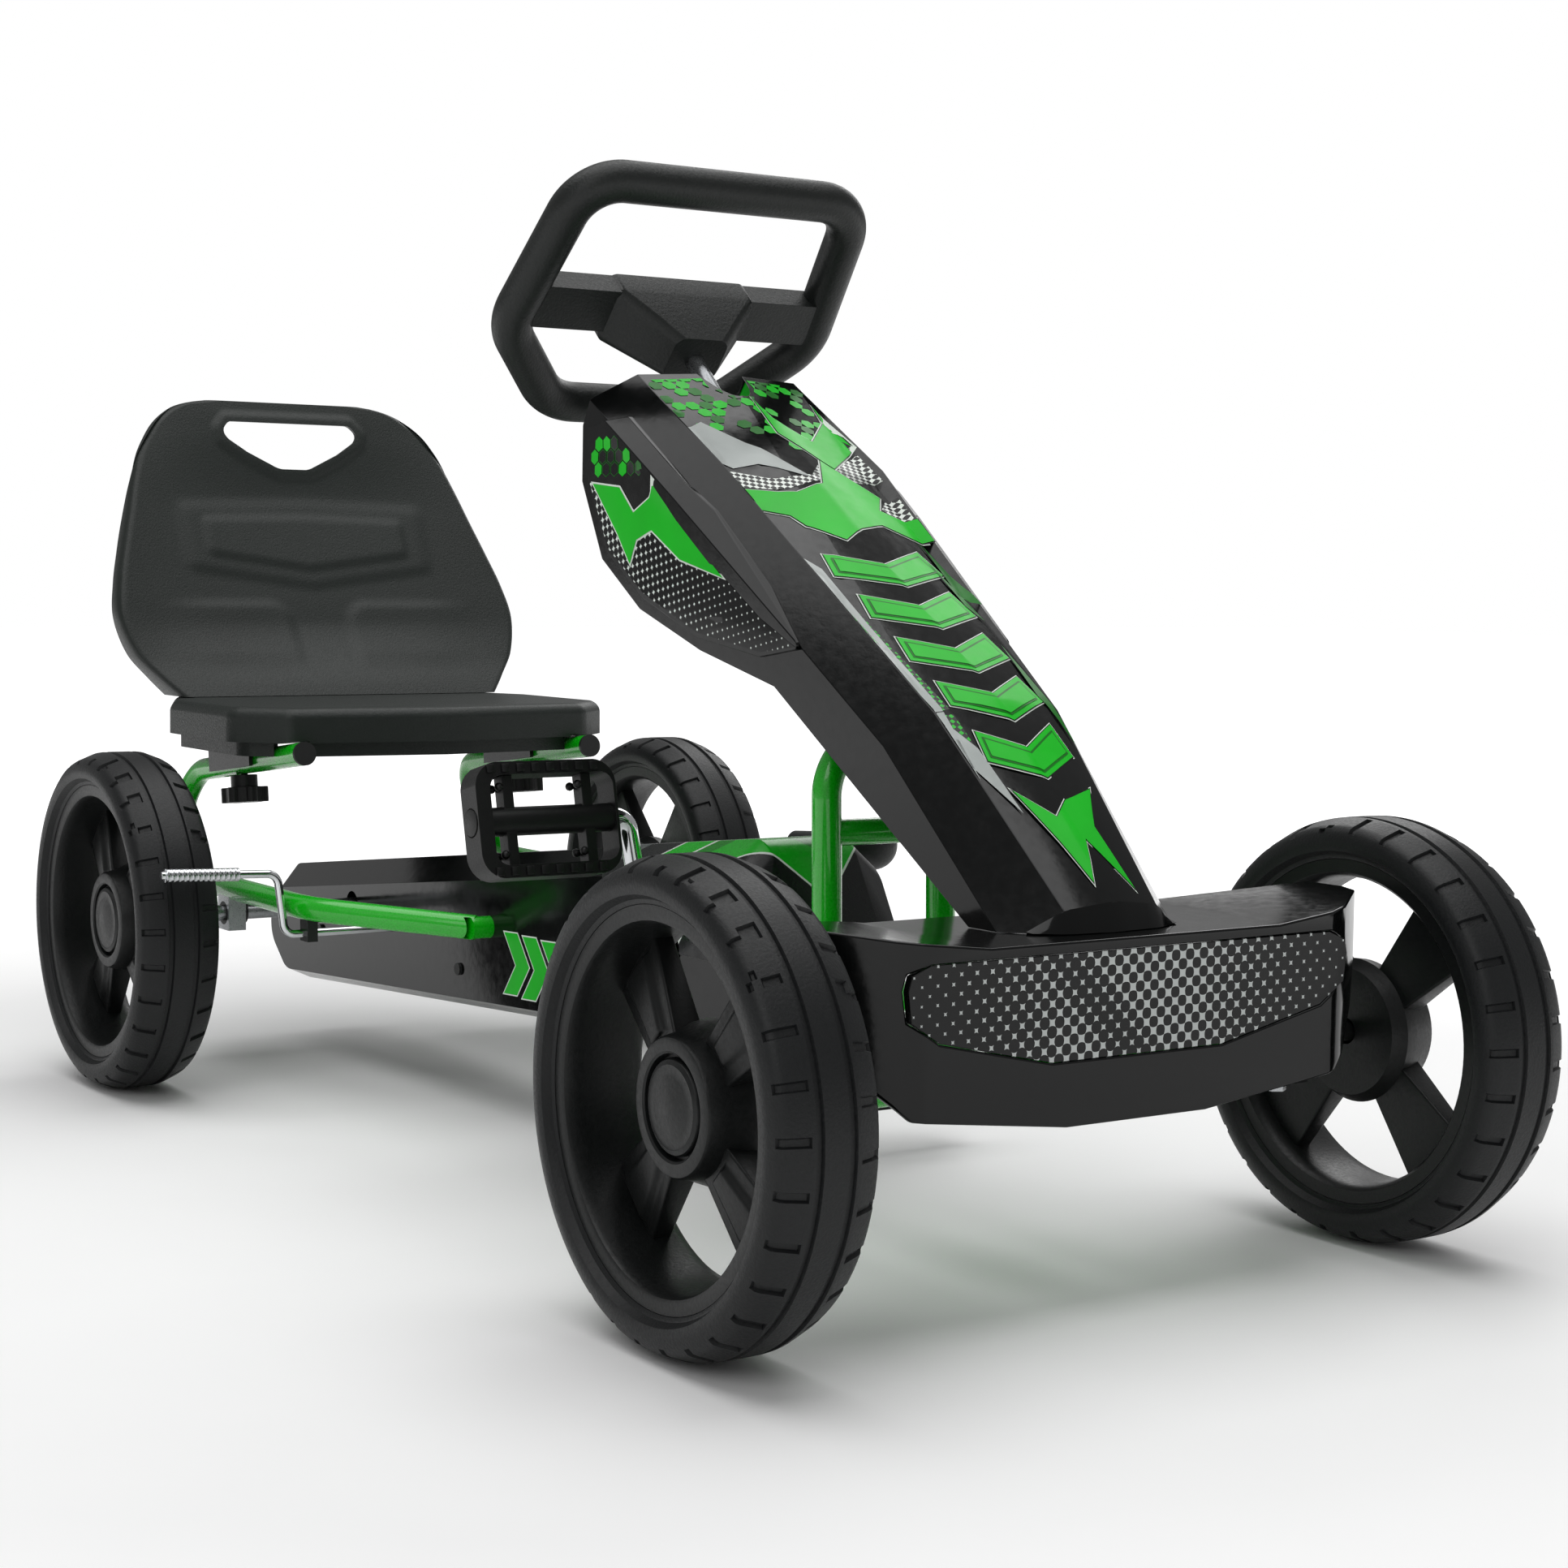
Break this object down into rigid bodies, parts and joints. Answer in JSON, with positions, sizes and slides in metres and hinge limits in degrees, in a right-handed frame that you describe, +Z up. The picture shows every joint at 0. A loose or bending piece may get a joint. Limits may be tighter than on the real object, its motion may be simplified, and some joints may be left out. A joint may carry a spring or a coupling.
{
  "type": "pedal go kart",
  "caption": "Child's pedal go kart with steered front wheels, chain guard, sliding bucket seat, hand brake, column fairing and front bumper.",
  "frame": {"origin": "on the floor under the middle of the kart's length and width", "axes": "+X forwards, +Y to the driver's left, +Z up"},
  "size_m": [1.219, 0.537, 0.6535],
  "materials": {
    "green_powder_coat": "gloss",
    "gloss_black_plastic": "gloss",
    "satin_black_plastic": "satin",
    "black_nylon": "matte",
    "black_painted_steel": "satin",
    "plated_steel": "satin",
    "bright_chrome": "polished",
    "seat_plastic": "satin",
    "soft_grip_plastic": "matte",
    "tyre_compound": "matte",
    "rim_plastic": "satin"
  },
  "bodies": {
    "frame": {"main_tubes": "green_powder_coat", "bottom_bracket_shell": "green_powder_coat", "crank_bushes": "black_nylon", "front_axle_beam": "green_powder_coat", "steering_hoop": "green_powder_coat", "column_sleeve": "green_powder_coat", "column_bushes": "black_nylon", "column_foot_bearing": "black_painted_steel", "right_seat_hoop": "green_powder_coat", "left_seat_hoop": "green_powder_coat", "rail_caps": "black_nylon", "stay_cross_tube": "green_powder_coat", "axle_brackets": "black_painted_steel", "axle_bushes": "black_nylon", "brake_clips": "black_painted_steel", "chain": "plated_steel", "right_guard_shell": "gloss_black_plastic", "left_guard_shell": "gloss_black_plastic", "guard_nose_cover": "gloss_black_plastic", "guard_screws": "black_nylon", "shroud_shell": "gloss_black_plastic", "right_wing_panel": "gloss_black_plastic", "left_wing_panel": "gloss_black_plastic", "bumper_shell": "gloss_black_plastic", "bumper_panel": "gloss_black_plastic", "bumper_brackets": "black_painted_steel"},
    "steering": {"steering_column": "plated_steel", "steering_rim": "soft_grip_plastic", "steering_hub": "satin_black_plastic", "hub_cover": "black_nylon"},
    "tie_bar": {"tie_bar": "black_painted_steel"},
    "right_knuckle": {"right_knuckle": "black_painted_steel", "right_knuckle_nuts": "plated_steel"},
    "left_knuckle": {"left_knuckle": "black_painted_steel", "left_knuckle_nuts": "plated_steel"},
    "front_right_wheel": {"front_right_tyre": "tyre_compound", "front_right_rim": "rim_plastic"},
    "front_left_wheel": {"front_left_tyre": "tyre_compound", "front_left_rim": "rim_plastic"},
    "rear_axle": {"rear_axle": "plated_steel", "rear_sprocket": "plated_steel", "rear_right_tyre": "tyre_compound", "rear_right_rim": "rim_plastic", "rear_left_tyre": "tyre_compound", "rear_left_rim": "rim_plastic"},
    "crank": {"crank": "bright_chrome", "chainring": "plated_steel"},
    "right_pedal": {"right_pedal_cage": "satin_black_plastic", "right_pedal_barrel": "satin_black_plastic"},
    "left_pedal": {"left_pedal_cage": "satin_black_plastic", "left_pedal_barrel": "satin_black_plastic"},
    "brake": {"brake_bar": "bright_chrome", "brake_sleeves": "black_nylon", "brake_grip": "soft_grip_plastic"},
    "seat": {"seat_base": "seat_plastic", "seat_back": "seat_plastic", "seat_saddles": "black_painted_steel"},
    "right_knob": {"right_knob": "satin_black_plastic"},
    "left_knob": {"left_knob": "satin_black_plastic"}
  },
  "joints": [
    {"name": "right_knuckle_steer", "type": "hinge", "parent": "frame", "child": "right_knuckle", "pos_m": [0.4825, -0.16, 0.127], "axis": [0, 0, 1], "range_deg": [-24, 24]},
    {"name": "left_knuckle_steer", "type": "hinge", "parent": "frame", "child": "left_knuckle", "pos_m": [0.4825, 0.16, 0.127], "axis": [0, 0, 1], "range_deg": [-24, 24]},
    {"name": "steering_turn", "type": "hinge", "parent": "frame", "child": "steering", "pos_m": [0.3085, 0, 0.327], "axis": [-0.7337, 0, 0.6794], "range_deg": [-24, 24]},
    {"name": "tie_bar_swing", "type": "hinge", "parent": "right_knuckle", "child": "tie_bar", "pos_m": [0.4505, -0.16, 0.1538], "axis": [0, 0, 1], "range_deg": [-24, 24]},
    {"name": "front_right_wheel_spin", "type": "hinge", "parent": "right_knuckle", "child": "front_right_wheel", "pos_m": [0.4825, -0.2375, 0.127], "axis": [0, 1, 0], "continuous": true},
    {"name": "front_left_wheel_spin", "type": "hinge", "parent": "left_knuckle", "child": "front_left_wheel", "pos_m": [0.4825, 0.2375, 0.127], "axis": [0, 1, 0], "continuous": true},
    {"name": "rear_axle_spin", "type": "hinge", "parent": "frame", "child": "rear_axle", "pos_m": [-0.3475, 0, 0.127], "axis": [0, 1, 0], "continuous": true},
    {"name": "crank_spin", "type": "hinge", "parent": "frame", "child": "crank", "pos_m": [0.1425, 0, 0.152], "axis": [0, 1, 0], "continuous": true},
    {"name": "right_pedal_spin", "type": "hinge", "parent": "crank", "child": "right_pedal", "pos_m": [0.1525, -0.148, 0.24], "axis": [0, 1, 0], "continuous": true},
    {"name": "left_pedal_spin", "type": "hinge", "parent": "crank", "child": "left_pedal", "pos_m": [0.1325, 0.148, 0.064], "axis": [0, 1, 0], "continuous": true},
    {"name": "brake_pull", "type": "hinge", "parent": "frame", "child": "brake", "pos_m": [-0.2155, 0, 0.126], "axis": [0, -1, 0], "range_deg": [0, 9]},
    {"name": "seat_slide", "type": "slide", "parent": "frame", "child": "seat", "axis": [0.9923, 0, 0.1236], "range_m": [-0.03, 0.03]},
    {"name": "right_knob_turn", "type": "hinge", "parent": "seat", "child": "right_knob", "pos_m": [-0.3925, -0.123, 0.23918], "axis": [-0.1236, 0, 0.9923], "range_deg": [0, 360]},
    {"name": "left_knob_turn", "type": "hinge", "parent": "seat", "child": "left_knob", "pos_m": [-0.3925, 0.123, 0.23918], "axis": [-0.1236, 0, 0.9923], "range_deg": [0, 360]}
  ],
  "couplings": [
    {"joint": "left_knuckle_steer", "follows": "right_knuckle_steer", "ratio": 1},
    {"joint": "steering_turn", "follows": "right_knuckle_steer", "ratio": 1},
    {"joint": "tie_bar_swing", "follows": "right_knuckle_steer", "ratio": -1},
    {"joint": "crank_spin", "follows": "rear_axle_spin", "ratio": 0.5}
  ]
}
